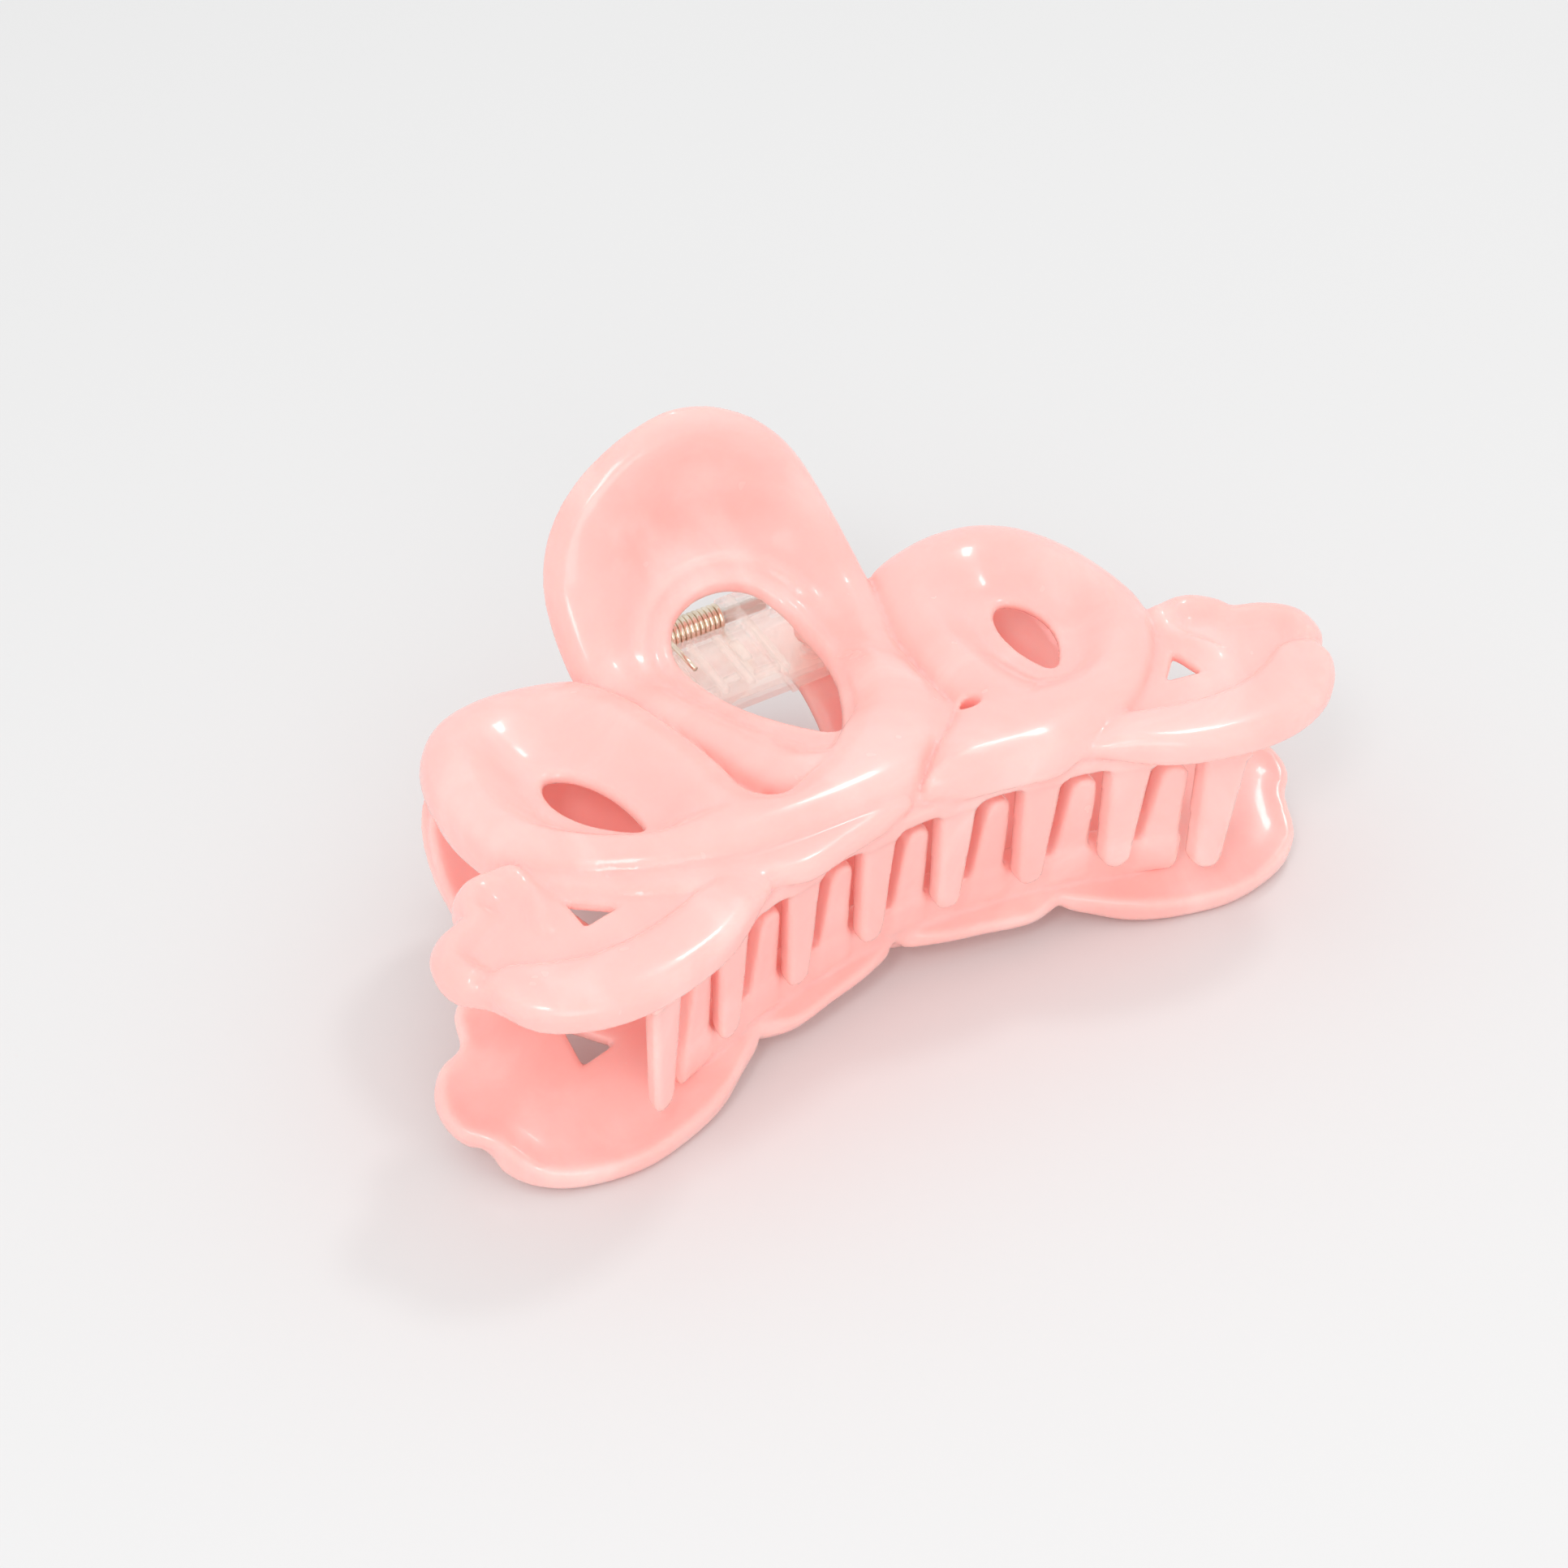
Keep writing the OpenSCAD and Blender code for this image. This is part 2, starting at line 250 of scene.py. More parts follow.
def flip(points):
    """The mirror image of a line on the sheet."""
    return [(-x, v) for x, v in points]


def segment_distance(px, py, a, b):
    """Distance from a grid of points to the segment a-b."""
    d = b - a
    t = np.clip(((px - a[0]) * d[0] + (py - a[1]) * d[1]) / max(d @ d, 1e-9), 0, 1)
    return np.hypot(px - a[0] - t * d[0], py - a[1] - t * d[1])


def depth_in(outline, per=4):
    """How far each point of the sheet grid lies inside a closed outline; negative outside."""
    loop = spline(outline, per, closed=True) if per > 1 else np.array(outline, float)
    nearest = np.full(SHEET_X.shape, 1e3)
    inside = np.zeros(SHEET_X.shape, bool)
    for a, b in zip(loop, np.roll(loop, -1, axis=0)):
        nearest = np.minimum(nearest, segment_distance(SHEET_X, SHEET_V, a, b))
        if a[1] != b[1]:
            crosses = (a[1] > SHEET_V) != (b[1] > SHEET_V)
            inside ^= crosses & (SHEET_X < (b[0] - a[0]) * (SHEET_V - a[1]) / (b[1] - a[1]) + a[0])
    return np.where(inside, nearest, -nearest)


def line_gap(points):
    """Distance on the sheet from a smooth line through points."""
    line = spline(points, 5)
    nearest = np.full(SHEET_X.shape, 1e3)
    for a, b in zip(line[:-1], line[1:]):
        nearest = np.minimum(nearest, segment_distance(SHEET_X, SHEET_V, a, b))
    return nearest


def hump(distance, width, at=0.0):
    """A smooth rise to 1 where the distance equals at."""
    return np.exp(-((distance - at) / width) ** 2)


def line_bump(points, width):
    """A smooth ridge of height 1 along a line on the sheet."""
    return hump(line_gap(points), width)


def roll(points, width):
    """A half-round roll of height 1 along a line on the sheet, with a crease at each side."""
    return np.sqrt(1 - np.clip(line_gap(points) / width, 0, 1) ** 2)


def dome(depth, width):
    """Rises from 0 at an outline to 1 at the given depth inside it, as a quarter round."""
    return np.sqrt(1 - (1 - np.clip(depth / width, 0, 1)) ** 2)


def ease(t):
    """A smooth step from 0 to 1 as t goes from 0 to 1."""
    t = np.clip(t, 0, 1)
    return t * t * (3 - 2 * t)


def join(a, b, k):
    """Smooth union of two distance fields."""
    h = np.maximum(k - np.abs(a - b), 0)
    return np.minimum(a, b) - h * h / (4 * k)


def cut(a, b, k):
    """Smooth difference: a without b."""
    return -join(-a, b, k)


# ---------------------------------------------------------------- grids
GRID_X = np.arange(-58, 58, STEP)
GRID_Y = np.arange(-60, 12, STEP)
GRID_Z = np.arange(-9, 32, STEP)
V_START = -62.0
SHEET_STEP = 0.4
SHEET_V_ROW = np.arange(V_START, 34, SHEET_STEP)
SHEET_X, SHEET_V = np.meshgrid(GRID_X, SHEET_V_ROW, indexing="ij")


class Sheet:
    """A curved sheet along X: for each (y, z), its place v along the profile and its height n above it."""

    def __init__(self, profile):
        line = spline(profile, 12)
        length = np.hypot(*np.diff(line, axis=0).T)
        along = line[:, 0].copy()
        for i in range(1, len(line)):
            if line[i, 0] > -12:
                along[i] = along[i - 1] + length[i - 1]
        y, z = np.meshgrid(GRID_Y, GRID_Z, indexing="ij")
        nearest = np.full(y.shape, 1e3)
        self.v = np.zeros(y.shape)
        self.n = np.zeros(y.shape)
        for i in range(len(line) - 1):
            a, b = line[i], line[i + 1]
            d = (b - a) / length[i]
            t = np.clip((y - a[0]) * d[0] + (z - a[1]) * d[1], 0, length[i])
            gap = np.hypot(y - a[0] - t * d[0], z - a[1] - t * d[1])
            side = np.sign(d[0] * (z - a[1]) - d[1] * (y - a[0]))
            closer = gap < nearest
            nearest = np.where(closer, gap, nearest)
            self.n = np.where(closer, gap * side, self.n)
            self.v = np.where(closer, along[i] + t * (along[i + 1] - along[i]) / length[i], self.v)
        place = np.clip((self.v - V_START) / SHEET_STEP, 0, len(SHEET_V_ROW) - 1.001)
        self.low = place.astype(int)
        self.part = (place - self.low).astype(np.float32)

    def lift(self, field):
        """A sheet field as a field in space."""
        field = field.astype(np.float32)
        return field[:, self.low] * (1 - self.part) + field[:, self.low + 1] * self.part

    def plate(self, depth, top, under, edge_r=EDGE_R):
        """A plate between two heights with rounded edges: depth is the distance in from its outline."""
        half = np.maximum(top - under, 0.6) / 2
        r = np.minimum(half, edge_r)
        out = self.lift(r - depth)
        up = np.abs(self.n - self.lift(under + half)) - self.lift(half - r)
        inner = np.minimum(np.maximum(out, up), 0)
        return np.hypot(np.maximum(out, 0), np.maximum(up, 0)) + inner - self.lift(r)


# ---------------------------------------------------------------- the jaw
def across_ring(depth_out, depth_hole):
    """0 at the outer edge of a ring-shaped region and 1 at its hole."""
    return depth_out / np.maximum(depth_out + depth_hole, 0.5)


def ribbon_region(sheet, outline, hole, step, crest, width, fade=0.0):
    """A puffed ribbon that loops round a petal hole and slopes down into it.

    step is its height at the edge, crest the rise above that and width how far in the rise is complete.
    """
    outer = depth_in(outline)
    hole_depth = -depth_in(hole)
    fall = ease((across_ring(outer, hole_depth) - FALL_FROM) / FALL_SPAN)
    top = step + crest * dome(outer, width) * (1 - fade) * (1 - FALL_SHARE * fall) - FADE_DROP * fade
    lip = HOLE_LIP * hump(hole_depth, 1.0, 1.2)
    return sheet.plate(np.minimum(outer, hole_depth), top + lip, np.full(top.shape, RIBBON_UNDER))


def leaf_plate(sheet, side):
    """A leaf: two rimmed lobes, a dish between them and a thick folded petal in front."""
    def at(points):
        return [(side * x, v) for x, v in points]

    depth = np.minimum(depth_in(at(LEAF)), -depth_in(at(LEAF_HOLE), 1))
    petal = PETAL_H * roll(at(PETAL_LINE), PETAL_W) * ease((np.abs(SHEET_X) - 16) / 10)
    lobes = LOBE_H * line_bump(at(LOBE_LINE), LOBE_W) + STEM_H * line_bump(at(STEM_LINE), STEM_W)
    dish = DISH_DEEP * hump(np.hypot(SHEET_X - side * DISH_AT[0], SHEET_V - DISH_AT[1]), DISH_W)
    fold = CREASE_DEEP * line_bump(at(FOLD_LINE), CREASE_W)
    top = LEAF_TOP + np.maximum(petal, lobes - dish - fold)
    return sheet.plate(depth, top, np.full(top.shape, RIBBON_UNDER))


def base_plate(sheet):
    """The thin sheet under the ornament: smooth inside, with a rim round the leaves."""
    neck = np.maximum(np.abs(SHEET_X) - NECK[0], NECK[1] - SHEET_V)
    outline = depth_in(mirrored(HALF_PLAN), 3)
    depth = np.minimum(outline, neck)
    depth = np.minimum(depth, -depth_in(mirrored(FINGER_HOLE), 3) - HOLE_BACK)
    for side in (1, -1):
        depth = np.minimum(depth, -depth_in([(side * x, v) for x, v in PETAL_HOLE]) - HOLE_BACK)
        depth = np.minimum(depth, -depth_in([(side * x, v) for x, v in LEAF_HOLE], 1))
    rim = BASE_RIM * hump(outline, BASE_RIM_W) * ease((np.abs(SHEET_X) - 20) / 8)
    return sheet.plate(depth, np.full(depth.shape, SHEET_TOP), SHEET_UNDER - rim)


def ring_plate(sheet):
    """The handle and the arms round the finger hole."""
    outer = depth_in(mirrored(HALF_RING))
    hole_depth = -depth_in(mirrored(FINGER_HOLE))
    u = across_ring(outer, hole_depth)
    handle = ease((SHEET_V + 16) / 12)
    rim = RIM_H * dome(outer, RIM_W) * (1 - 0.9 * ease((u - RIM_FALL[0]) / RIM_FALL[1]))
    collar = COLLAR_H * hump(hole_depth, COLLAR_W, COLLAR_AT) * handle
    inner = HOLE_RIM_H * hump(hole_depth, HOLE_RIM_W, HOLE_RIM_AT)
    top = SHEET_TOP + rim + collar + inner + 0.5 * (1 - handle)
    under = HANDLE_UNDER + 0.9 * (1 - handle) + 0.5 * ease((u - 0.2) / 0.5) * handle
    return sheet.plate(np.minimum(outer, hole_depth), top, under, HANDLE_EDGE_R)


def bow(x):
    """How far a tooth row's bow sets it back at x."""
    return -ROW_BOW * x * x


def tooth_places(count):
    """The teeth's places along a row, even about its middle."""
    return [(k - (count - 1) / 2) * TOOTH_PITCH for k in range(count)]


def round_box(dx, dy, dz, r):
    """Distance to a box with round edges, from how far a point is beyond each pair of faces."""
    out = np.sqrt(np.maximum(dx + r, 0) ** 2 + np.maximum(dy + r, 0) ** 2 + np.maximum(dz + r, 0) ** 2)
    return out + np.minimum(np.maximum(np.maximum(dx, dy), dz) + r, 0) - r


def tooth(x, y, z, extra=0.0, grow=0.0):
    """A tapered, flat-fronted tooth with a round tip, standing at x = y = 0.

    extra makes it longer, and grow makes it thicker all round.
    """
    length = (TOOTH_REACH + extra + TOOTH_TOP) / math.cos(TOOTH_LEAN)
    down = -y * math.sin(TOOTH_LEAN) - (z - TOOTH_TOP) * math.cos(TOOTH_LEAN)
    out = -y * math.cos(TOOTH_LEAN) + (z - TOOTH_TOP) * math.sin(TOOTH_LEAN)
    half_w = (TOOTH_ROOT_W + (TOOTH_TIP_W - TOOTH_ROOT_W) * np.clip(down / length, 0, 1)) / 2
    tip_r = TOOTH_TIP_W / 2
    beyond = np.maximum(down - length + tip_r, 0)
    across = np.where(beyond > 0, np.hypot(x, beyond) - tip_r, np.abs(x) - half_w)
    return round_box(across, np.abs(out) - TOOTH_THICK / 2, -down, TOOTH_EDGE_R) - grow


def tooth_row(row, other):
    """The wall of a jaw and its teeth; a row with pockets gives way to each tip of the other jaw."""
    x = GRID_X[:, None, None] - row["shift"]
    y, z = GRID_Y[None, :, None] - row["y"], GRID_Z[None, None, :]
    places = tooth_places(row["count"])
    field = round_box(np.abs(x) - places[-1] - TOOTH_ROOT_W / 2, np.abs(y - bow(x)) - WALL_THICK / 2,
                      np.maximum(row["low"] - z, z - WALL_TOP), WALL_EDGE_R)
    for at in places:
        near = np.abs(x[:, 0, 0] - at) < TOOTH_PITCH / 2 + 1
        extra = row["end_extra"] if abs(at) == places[-1] else REACH_BOW * at * at
        one = tooth(x[near] - at, y - bow(x[near]) + TOOTH_SET, z, extra)
        field[near] = join(field[near], one, TOOTH_BLEND)
    if row["pockets"]:
        y = GRID_Y[None, :, None] - other["y"]
        for at in tooth_places(other["count"]):
            near = np.abs(GRID_X - at) < TOOTH_PITCH / 2
            x = GRID_X[near][:, None, None]
            tip = tooth(x - at, y - bow(x) + TOOTH_SET, -z, 0, POCKET_GAP)
            field[near] = cut(field[near], tip, POCKET_BLEND)
    return field


def cylinder(x, y, z, at, r, low, high):
    """Distance to an upright cylinder at a place (x, y), between two heights."""
    return np.maximum(np.hypot(x - at[0], y - at[1]) - r, np.maximum(low - z, z - high))


def jaw_body_field():
    """Signed distance of a jaw without its teeth, on the grid."""
    x, y, z = GRID_X[:, None, None], GRID_Y[None, :, None], GRID_Z[None, None, :]
    body, handle = Sheet(BODY_LINE), Sheet(HANDLE_LINE)
    field = base_plate(body)
    for side in (1, -1):
        field = join(field, leaf_plate(body, side), LEAF_BLEND)
    ridge = depth_in(RIDGE)
    ridge_top = RIDGE_TOP + RIDGE_CREST * dome(ridge, RIDGE_W)
    field = join(field, body.plate(ridge, ridge_top, np.full(ridge.shape, RIBBON_UNDER)), RIBBON_BLEND)
    field = join(field, ring_plate(handle), RING_BLEND)
    field = join(field, ribbon_region(body, BAND, PETAL_HOLE, *BAND_PUFF), RIBBON_BLEND)
    fade = ease((SHEET_V + 26) / 18) * ease((SHEET_X - 2) / 4)
    field = join(field, ribbon_region(body, SWEEP, flip(PETAL_HOLE), *SWEEP_PUFF, fade), RIBBON_BLEND)
    for side in (1, -1):
        valley = cylinder(x, y, z, (side * VALLEY[0], VALLEY[1]), VALLEY_R, 0, 20)
        field = cut(field, valley, VALLEY_BLEND)
        boss = cylinder(x, y, z, (side * PEG_AT[0], PEG_AT[1]), BOSS_R, BOSS_LOW, BOSS_TOP)
        peg = cylinder(x, y, z, (side * PEG_AT[0], PEG_AT[1]), PEG_R, PEG_LOW, BOSS_TOP)
        field = join(field, np.minimum(boss, peg), PEG_BLEND)
    return field


def sample(field, points):
    """Trilinear value and slope of a grid field at points, in millimetres."""
    origin = np.array([GRID_X[0], GRID_Y[0], GRID_Z[0]])
    place = (points - origin) / STEP
    low = np.clip(place.astype(int), 0, np.array(field.shape) - 2)
    f = (place - low)[:, None, None, None, :]
    i, j, k = low.T
    c = np.array([[[field[i + a, j + b, k + c] for c in (0, 1)] for b in (0, 1)] for a in (0, 1)])
    c = np.moveaxis(c, 3, 0)
    fx, fy, fz = f[:, 0, 0, 0, 0], f[:, 0, 0, 0, 1], f[:, 0, 0, 0, 2]
    wx, wy, wz = np.stack([1 - fx, fx], 1), np.stack([1 - fy, fy], 1), np.stack([1 - fz, fz], 1)
    value = np.einsum("nabc,na,nb,nc->n", c, wx, wy, wz)
    slope = np.stack([np.einsum("nbc,nb,nc->n", c[:, 1] - c[:, 0], wy, wz),
                      np.einsum("nac,na,nc->n", c[:, :, 1] - c[:, :, 0], wx, wz),
                      np.einsum("nab,na,nb->n", c[:, :, :, 1] - c[:, :, :, 0], wx, wy)], 1) / STEP
    return value, slope


def relax(points, quads, field, rounds=3):
    """Evens the mesh out and draws it back to the surface, so that highlights run smoothly."""
    pairs = np.concatenate([quads[:, [0, 1]], quads[:, [1, 2]], quads[:, [2, 3]], quads[:, [3, 0]]])
    pairs = np.concatenate([pairs, pairs[:, ::-1]])
    count = np.bincount(pairs[:, 0], minlength=len(points))[:, None]
    for _ in range(rounds):
        total = np.stack([np.bincount(pairs[:, 0], points[pairs[:, 1], axis], len(points))
                          for axis in range(3)], 1)
        points = 0.5 * points + 0.5 * total / np.maximum(count, 1)
        for _ in range(2):
            value, slope = sample(field, points)
            size = np.maximum((slope ** 2).sum(1, keepdims=True), 0.2)
            points = points - np.clip(value[:, None] * slope / size, -0.3, 0.3)
    return points


def jaw_mesh(body, row, other):
    """Points in the clip frame, in millimetres, and quads of a jaw with its row of teeth."""
    field = join(body, tooth_row(row, other), ROW_BLEND).astype(np.float32)
    grid = openvdb.FloatGrid()
    grid.copyFromArray(field)
    points, quads = grid.convertToQuads(isovalue=0.0)
    points = points.astype(float) * STEP + np.array([GRID_X[0], GRID_Y[0], GRID_Z[0]])
    return relax(points, quads.astype(int), field), quads.astype(int)[:, ::-1]


# ---------------------------------------------------------------- objects
def rest_matrix():
    """From the clip frame in millimetres to the row frame in metres."""
    return Matrix.Translation(HINGE) @ Matrix.Rotation(REST_TILT, 4, "X") @ Matrix.Scale(MM, 4)


def add_mesh(name, points, faces, material, matrix):
    """A smooth-shaded mesh object from points in the clip frame."""
    rows = np.array(matrix)
    points = np.asarray(points, float) @ rows[:3, :3].T + rows[:3, 3]
    mesh = bpy.data.meshes.new(name)
    mesh.from_pydata(points.tolist(), [], [tuple(f) for f in faces])
    mesh.validate()
    mesh.shade_smooth()
    mesh.materials.append(material)
    thing = bpy.data.objects.new(name, mesh)
    bpy.context.scene.collection.objects.link(thing)
    return thing


def tube(path, r, sides=14):
    """Points and faces of a round wire along a path, with closed ends."""
    path = np.asarray(path, float)
    ways = np.gradient(path, axis=0)
    ways /= np.linalg.norm(ways, axis=1, keepdims=True)
    side = np.cross(ways[0], [0, 0, 1.0])
    points = []
    for here, way in zip(path, ways):
        side = side - way * (side @ way)
        side /= np.linalg.norm(side)
        other = np.cross(way, side)
        for s in range(sides):
            a = 2 * math.pi * s / sides
            points.append(here + r * (math.cos(a) * side + math.sin(a) * other))
    faces = []
    for i in range(len(path) - 1):
        for s in range(sides):
            t = (s + 1) % sides
            faces.append((i * sides + s, i * sides + t, (i + 1) * sides + t, (i + 1) * sides + s))
    faces.append(tuple(range(sides))[::-1])
    faces.append(tuple(range((len(path) - 1) * sides, len(path) * sides)))
    return points, faces


def spring_path():
    """Centreline of the spring: a leg, the coil and the other leg."""
    steps = 28 * TURNS
    half = TURNS * COIL_PITCH / 2
    sweep = 2 * math.pi * (TURNS + 0.5) - 2 * LEG_RISE
    coil = []
    for i in range(steps + 1):
        a = LEG_RISE + sweep * i / steps
        coil.append((HINGE_MID - half + 2 * half * i / steps, COIL_R * math.sin(a), COIL_R * math.cos(a)))
    reach = np.array([0, -math.cos(LEG_RISE), math.sin(LEG_RISE)])
    first = [np.array(coil[0]) + reach * LEG_LEN * t for t in (1, 0.7, 0.4, 0.15)]
    last = [np.array(coil[-1]) + reach * (1, 1, -1) * LEG_LEN * t for t in (0.15, 0.4, 0.7, 1)]
    return first + coil + last


# ---------------------------------------------------------------- materials
def new_material(name):
    """A material, its node tree and its shader."""
    material = bpy.data.materials.new(name)
    material.use_nodes = True
    tree = material.node_tree
    return material, tree, tree.nodes["Principled BSDF"]


def set_inputs(node, values):
    """Sets a node's own sockets by name."""
    for name, value in values.items():
        node.inputs[name].default_value = value


def noise(tree, scale, detail=3.0, distortion=0.0):
    """Noise in the object's own coordinates, from 0 to 1."""
    coords = tree.nodes.new("ShaderNodeTexCoord")
    node = tree.nodes.new("ShaderNodeTexNoise")
    set_inputs(node, {"Scale": scale, "Detail": detail, "Distortion": distortion})
    tree.links.new(coords.outputs["Object"], node.inputs["Vector"])
    return node.outputs["Fac"]


def ramp(tree, source, stops):
    """Turns a value into a colour through stops of (value, colour)."""
    node = tree.nodes.new("ShaderNodeValToRGB")
    for end, (place, colour) in zip(node.color_ramp.elements, (stops[0], stops[-1])):
        end.position = place
        end.color = (*colour, 1)
    for place, colour in stops[1:-1]:
        node.color_ramp.elements.new(place).color = (*colour, 1)
    tree.links.new(source, node.inputs["Fac"])
    return node.outputs["Color"]


def spread(tree, source, low, high):
    """Stretches a value from 0..1 to low..high."""
    node = tree.nodes.new("ShaderNodeMapRange")
    set_inputs(node, {"To Min": low, "To Max": high})
    tree.links.new(source, node.inputs["Value"])
    return node.outputs["Result"]


def bump(tree, source, distance, strength, shader):
    """Gives a shader fine relief from a value; distance is in metres."""
    node = tree.nodes.new("ShaderNodeBump")
    set_inputs(node, {"Distance": distance, "Strength": strength})
    tree.links.new(source, node.inputs["Height"])
    tree.links.new(node.outputs["Normal"], shader.inputs["Normal"])


def pink_material():
    """Glossy moulded plastic with a faint pearly flow in it and a painted red glow that stands in for light
    shining through it.
    """
    material, tree, shader = new_material("pink_plastic")
    flow = noise(tree, 45, 4, 1.6)
    colour = ramp(tree, flow, [(0.3, (1.0, 0.52, 0.48)), (0.5, (1.0, 0.56, 0.52)),
                               (0.72, (1.0, 0.65, 0.61))])
    tree.links.new(colour, shader.inputs["Base Color"])
    tree.links.new(spread(tree, noise(tree, 300, 2), 0.2, 0.3), shader.inputs["Roughness"])
    # The red emission is a painted glow: it stands in for light shining through the pink plastic and tints
    # its shaded hollows and the shadow on the floor.
    set_inputs(shader, {"Subsurface Weight": 0.5, "Subsurface Radius": (1.0, 0.35, 0.28),
                        "Subsurface Scale": 0.003, "Coat Weight": 0.3, "Coat Roughness": 0.05,
                        "Emission Color": (1.0, 0.22, 0.18, 1), "Emission Strength": 0.07})
    bump(tree, noise(tree, 160, 3), 0.0002, 0.06, shader)
    return material


def clear_material():
    """Clear moulded plastic, faintly warm, with soft flow marks and a painted warm glow that brightens it
    in place of light passing through it.
    """
    material, tree, shader = new_material("clear_plastic")
    colour = ramp(tree, noise(tree, 120, 2, 0.8), [(0.3, (0.98, 0.90, 0.84)), (0.7, (1.0, 0.96, 0.92))])
    tree.links.new(colour, shader.inputs["Base Color"])
    tree.links.new(spread(tree, noise(tree, 400, 2), 0.03, 0.09), shader.inputs["Roughness"])
    # The warm emission is a painted glow that brightens the clear plates in place of light passing through
    # them.
    set_inputs(shader, {"Transmission Weight": 0.7, "IOR": 1.3, "Alpha": 0.4,
                        "Emission Color": (1.0, 0.92, 0.84, 1), "Emission Strength": 0.08})
    bump(tree, noise(tree, 220, 2), 0.0003, 0.12, shader)
    return material


def metal_material(name, dark, light, rough):
    """Plated metal with fine draw marks."""
    material, tree, shader = new_material(name)
    colour = ramp(tree, noise(tree, 500, 3), [(0.35, dark), (0.65, light)])
    tree.links.new(colour, shader.inputs["Base Color"])
    gloss = spread(tree, noise(tree, 900, 2), rough - 0.06, rough + 0.06)
    tree.links.new(gloss, shader.inputs["Roughness"])
    set_inputs(shader, {"Metallic": 1.0})
    bump(tree, noise(tree, 1500, 2), 0.0001, 0.1, shader)
    return material


def floor_material():
    """Plain pale matt floor."""
    material, tree, shader = new_material("studio_floor")
    colour = ramp(tree, noise(tree, 3, 2), [(0.3, (0.79, 0.79, 0.79)), (0.7, (0.80, 0.80, 0.80))])
    tree.links.new(colour, shader.inputs["Base Color"])
    set_inputs(shader, {"Roughness": 0.9, "Specular IOR Level": 0.1})
    return material


# ---------------------------------------------------------------- stage
def add_camera():
    """Looks at the clip from the front left and above, as an orbit round a point near the teeth."""
    around, above = CAMERA_AROUND, CAMERA_ABOVE
    flat = math.cos(above)
    back = Vector((math.sin(around) * flat, -math.cos(around) * flat, math.sin(above)))
    right = Vector((math.cos(around), math.sin(around), 0))
    up = back.cross(right)
    place = Matrix.Translation(CAMERA_TARGET + back * CAMERA_DISTANCE)
    place = place @ Matrix((right, up, back)).transposed().to_4x4()
    level = Matrix.Translation(HINGE) @ Matrix.Rotation(CAMERA_TILT, 4, "X") @ Matrix.Scale(MM, 4)
    place = level @ place
    spot, turn, _ = place.decompose()
    camera = bpy.data.cameras.new("camera")
    camera.sensor_width = SENSOR_W
    camera.lens = LENS
    camera.clip_start = 0.01
    camera.clip_end = 20
    thing = bpy.data.objects.new("camera", camera)
    thing.matrix_world = Matrix.LocRotScale(spot, turn, None)
    bpy.context.scene.collection.objects.link(thing)
    bpy.context.scene.camera = thing


def add_light(name, place, size, watts):
    """A soft rectangular light that faces the clip."""
    light = bpy.data.lights.new(name, "AREA")
    light.shape = "RECTANGLE"
    light.size, light.size_y = size
    light.energy = watts
    thing = bpy.data.objects.new(name, light)
    thing.location = place
    thing.rotation_euler = (Vector(LIGHT_TARGET) - Vector(place)).to_track_quat("-Z", "Y").to_euler()
    bpy.context.scene.collection.objects.link(thing)


def add_studio(floor_z):
    """White surroundings, the lights and the floor under the clip."""
    world = bpy.data.worlds.new("studio")
    world.use_nodes = True
    set_inputs(world.node_tree.nodes["Background"], {"Color": (1, 1, 1, 1), "Strength": WORLD_STRENGTH})
    bpy.context.scene.world = world
    bpy.context.scene.view_settings.view_transform = "Standard"
    for name, place, size, watts in LIGHTS:
        add_light(name, place, size, watts)
    corners = [(x * FLOOR_HALF, y * FLOOR_HALF, floor_z) for x, y in ((-1, -1), (1, -1), (1, 1), (-1, 1))]
    mesh = bpy.data.meshes.new("floor")
    mesh.from_pydata(corners, [], [(0, 1, 2, 3)])
    mesh.materials.append(floor_material())
    floor = bpy.data.objects.new("floor", mesh)
    bpy.context.scene.collection.objects.link(floor)


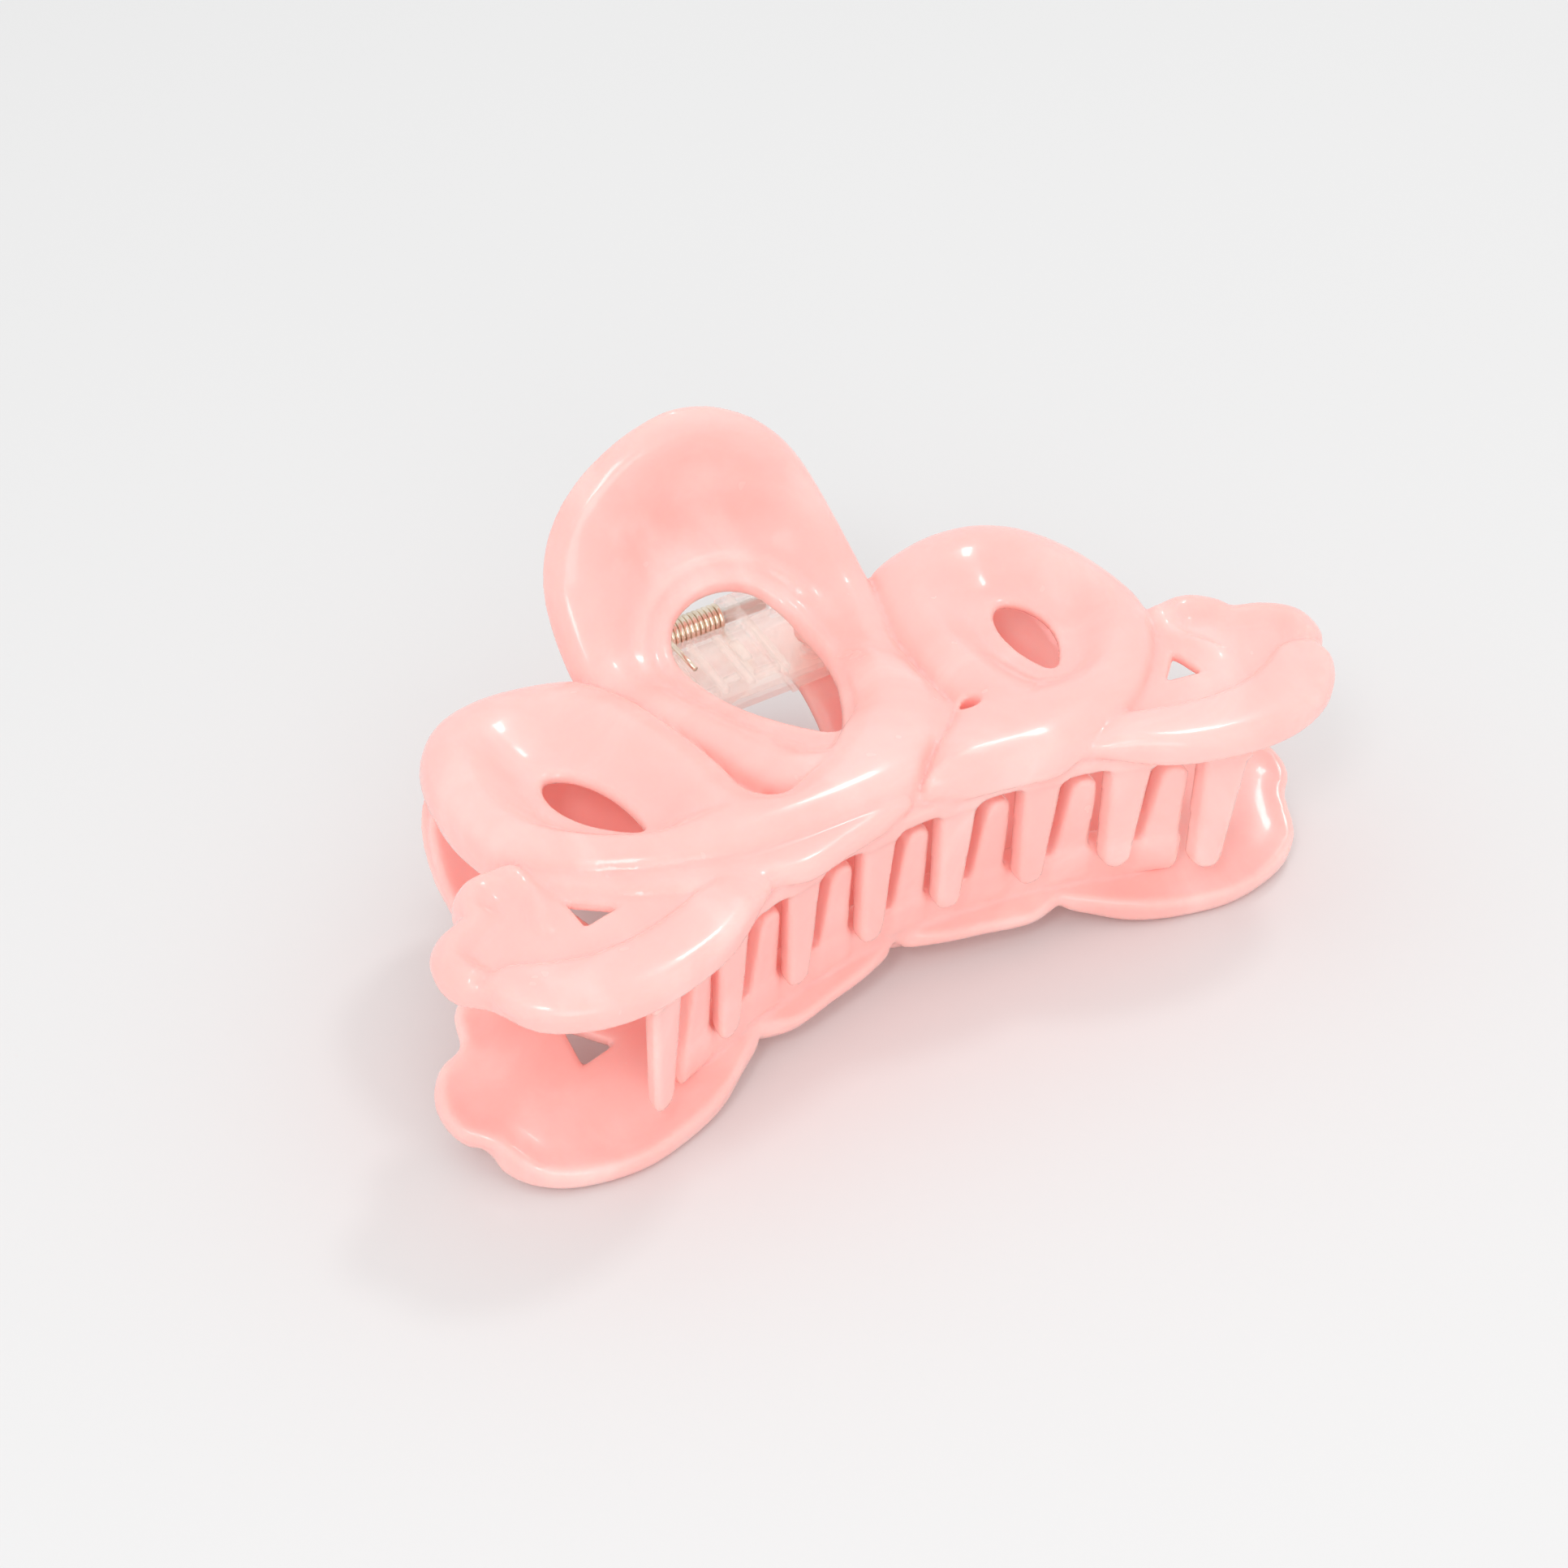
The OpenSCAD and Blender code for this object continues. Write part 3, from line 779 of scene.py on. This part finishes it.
# ---------------------------------------------------------------- assembly
def add_jaws(pink):
    """The lower jaw is the upper one turned half a turn about the clip's own Y axis, with its own teeth."""
    body = jaw_body_field()
    lowest = 0.0
    for name, turn in (("upper", 0), ("lower", math.pi)):
        points, quads = jaw_mesh(body, ROWS[name], ROWS["upper"])
        matrix = rest_matrix() @ Matrix.Rotation(turn, 4, "Y")
        jaw = add_mesh(name + "_moulded_jaw", points, quads, pink, matrix)
        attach(jaw, name)
        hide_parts(name + "_jaw")
        lowest = min(lowest, min(v.co.z for v in jaw.data.vertices))
    return lowest


def add_spring(material):
    """A coiled spring between the jaws, with a leg reaching out along each."""
    points, faces = tube(spring_path(), WIRE_R)
    spring = add_mesh("coiled_spring", points, faces, material, rest_matrix())
    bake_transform(spring)
    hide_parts("torsion_spring")


def add_ribs(material):
    """Moulded ribs on the clear plate under the finger hole, which ride with the upper jaw."""
    points, faces = [], []
    for x0, x1, y0, y1, top in RIBS:
        first = len(points)
        for z, inset in ((RIB_FOOT, 0), (top - RIB_BEVEL, 0), (top, RIB_BEVEL)):
            points += [(x0 + inset, y0 + inset, z), (x1 - inset, y0 + inset, z),
                       (x1 - inset, y1 - inset, z), (x0 + inset, y1 - inset, z)]
        for low in (0, 4):
            for a in range(4):
                b = (a + 1) % 4
                faces.append(tuple(first + low + k for k in (a, b, b + 4, a + 4)))
        faces += [(first + 3, first + 2, first + 1, first), tuple(first + k for k in (8, 9, 10, 11))]
    ribs = add_mesh("clear_ribs", points, faces, material, rest_matrix())
    for polygon in ribs.data.polygons:
        polygon.use_smooth = False
    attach(ribs, "upper")


def dress(node, material):
    """Gives a CAD node its material."""
    mesh = frame["nodes"][node].data
    mesh.materials.clear()
    mesh.materials.append(material)


add_camera()
floor_z = add_jaws(pink_material())
add_spring(metal_material("spring_wire", (0.72, 0.60, 0.46), (0.93, 0.83, 0.70), 0.22))
dress("hinge_pin", metal_material("steel", (0.55, 0.53, 0.50), (0.70, 0.68, 0.64), 0.25))
clear = clear_material()
add_ribs(clear)
for node in ("upper_hinge_bracket", "lower_hinge_bracket"):
    dress(node, clear)
add_studio(floor_z)
